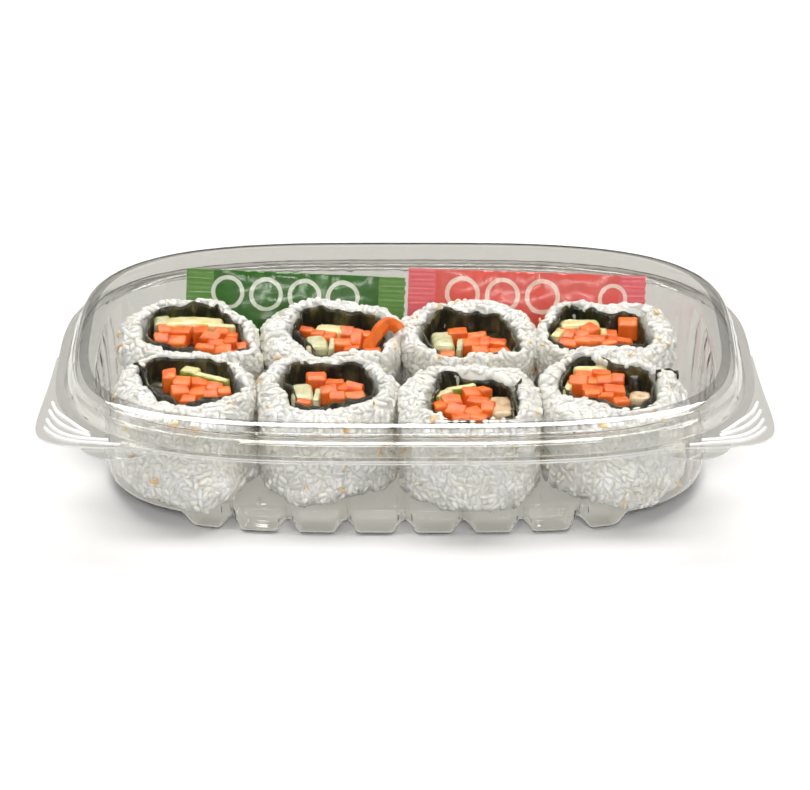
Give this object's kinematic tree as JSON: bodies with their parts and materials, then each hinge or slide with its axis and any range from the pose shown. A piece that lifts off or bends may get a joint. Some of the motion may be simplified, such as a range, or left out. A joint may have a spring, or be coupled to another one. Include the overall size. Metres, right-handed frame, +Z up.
{
  "type": "takeaway sushi tray",
  "caption": "Clear hinged takeaway box holding inside-out sushi rolls and sauce sachets, shut, with ribbed walls, feet and grip tabs.",
  "frame": {"origin": "centre of the box's base, on the surface it stands on", "axes": "+X along the long side to the right, +Y to the back where the lid is hinged, +Z up"},
  "size_m": [0.2148, 0.144, 0.0407],
  "materials": {
    "clear_plastic": "clear glossy formed plastic",
    "rice": "moist cooked rice",
    "nori": "crinkled dark seaweed sheet",
    "carrot": "moist cut carrot",
    "avocado": "soft pale green flesh",
    "cucumber": "moist pale flesh",
    "radish": "translucent tan strip",
    "sachet_green": "printed film, lighter green sealed ends",
    "sachet_pink": "printed film, coral pink"
  },
  "bodies": {
    "box": {"avocado_back_1": "avocado", "avocado_back_2": "avocado", "avocado_back_4": "avocado", "avocado_front_1": "avocado", "avocado_front_3": "avocado", "avocado_front_4": "avocado", "carrot_back_1": "carrot", "carrot_back_2": "carrot", "carrot_back_3": "carrot", "carrot_back_4": "carrot", "carrot_end_back_4": "carrot", "carrot_end_front_1": "carrot", "carrot_front_1": "carrot", "carrot_front_2": "carrot", "carrot_front_3": "carrot", "carrot_front_4": "carrot", "cucumber_back_1": "cucumber", "cucumber_back_2": "cucumber", "cucumber_back_3": "cucumber", "cucumber_front_2": "cucumber", "nori_back_1": "nori", "nori_back_2": "nori", "nori_back_3": "nori", "nori_back_4": "nori", "nori_fold_front_4": "nori", "nori_front_1": "nori", "nori_front_2": "nori", "nori_front_3": "nori", "nori_front_4": "nori", "radish_front_3": "radish", "radish_front_4": "radish", "rice_back_1": "rice", "rice_back_2": "rice", "rice_back_3": "rice", "rice_back_4": "rice", "rice_front_1": "rice", "rice_front_2": "rice", "rice_front_3": "rice", "rice_front_4": "rice", "sachet_green": "sachet_green", "sachet_pink": "sachet_pink", "tray": "clear_plastic"},
    "lid": {"lid": "clear_plastic"}
  },
  "joints": [
    {"name": "lid_hinge", "type": "hinge", "parent": "box", "child": "lid", "pos_m": [0, 0.072, 0.0298], "axis": [-1, 0, 0], "range_deg": [0, 180]}
  ]
}
